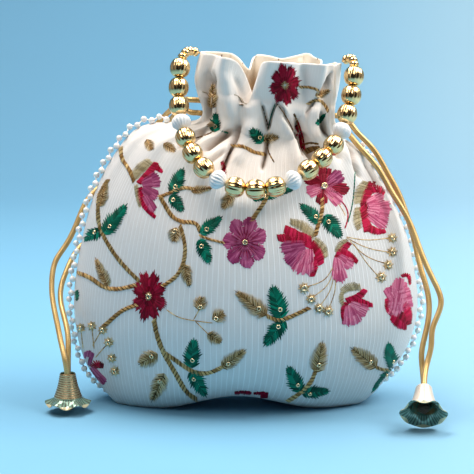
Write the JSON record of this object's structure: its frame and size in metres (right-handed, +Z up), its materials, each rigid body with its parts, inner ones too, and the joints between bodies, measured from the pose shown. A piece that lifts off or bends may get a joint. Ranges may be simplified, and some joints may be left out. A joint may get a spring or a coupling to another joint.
{
  "type": "potli bag",
  "caption": "Gathered drawstring pouch of embroidered silk with a frilled mouth, a pearl-edged seam, bell tassels on its cords and a swinging handle of beads.",
  "frame": {"origin": "middle of the bag's base on the floor, below the middle of its overall width and depth without the free cords and bells", "axes": "+Z up, the bag's front faces -Y, +X to the right seen from the front"},
  "size_m": [0.236, 0.1465, 0.2161],
  "materials": {
    "embroidered_silk": "slub silk with coloured and gold thread embroidery",
    "lining_cloth": "plain cream satin",
    "pearl": "pearl lustre",
    "gold_cord": "satin gold twisted cord",
    "bell_metal": "ribbed bronze and gold with an enamelled rim",
    "gold_bead": "metallised, polished",
    "thread_bead": "white thread wound over a bead",
    "gold_spacer": "metallised, polished",
    "handle_thread": "waxed thread"
  },
  "bodies": {
    "bag": {"front_panel": "embroidered_silk", "back_panel": "embroidered_silk", "lining": "lining_cloth", "pearl_trim": "pearl", "channel_cord_left": "gold_cord", "channel_cord_right": "gold_cord", "drawstring_left_a": "gold_cord", "drawstring_left_b": "gold_cord", "drawstring_right_a": "gold_cord", "drawstring_right_b": "gold_cord", "bell_left": "bell_metal", "bell_right": "bell_metal", "knot_left": "gold_cord", "knot_right": "gold_cord"},
    "handle": {"gold_bead_01": "gold_bead", "gold_bead_02": "gold_bead", "gold_bead_03": "gold_bead", "gold_bead_04": "gold_bead", "gold_bead_05": "gold_bead", "gold_bead_06": "gold_bead", "gold_bead_07": "gold_bead", "gold_bead_08": "gold_bead", "gold_bead_09": "gold_bead", "gold_bead_10": "gold_bead", "gold_bead_11": "gold_bead", "gold_bead_12": "gold_bead", "gold_bead_13": "gold_bead", "gold_bead_14": "gold_bead", "gold_bead_15": "gold_bead", "white_bead_1": "thread_bead", "white_bead_2": "thread_bead", "white_bead_3": "thread_bead", "white_bead_4": "thread_bead", "spacer_01": "gold_spacer", "spacer_02": "gold_spacer", "spacer_03": "gold_spacer", "spacer_04": "gold_spacer", "spacer_05": "gold_spacer", "spacer_06": "gold_spacer", "spacer_07": "gold_spacer", "spacer_08": "gold_spacer", "spacer_09": "gold_spacer", "spacer_10": "gold_spacer", "handle_thread": "handle_thread"}
  },
  "joints": [
    {"name": "handle_swing", "type": "hinge", "parent": "bag", "child": "handle", "pos_m": [0.0574, 0, 0.2072], "axis": [-0.9983, 0, 0.0589], "range_deg": [0, 280]}
  ]
}
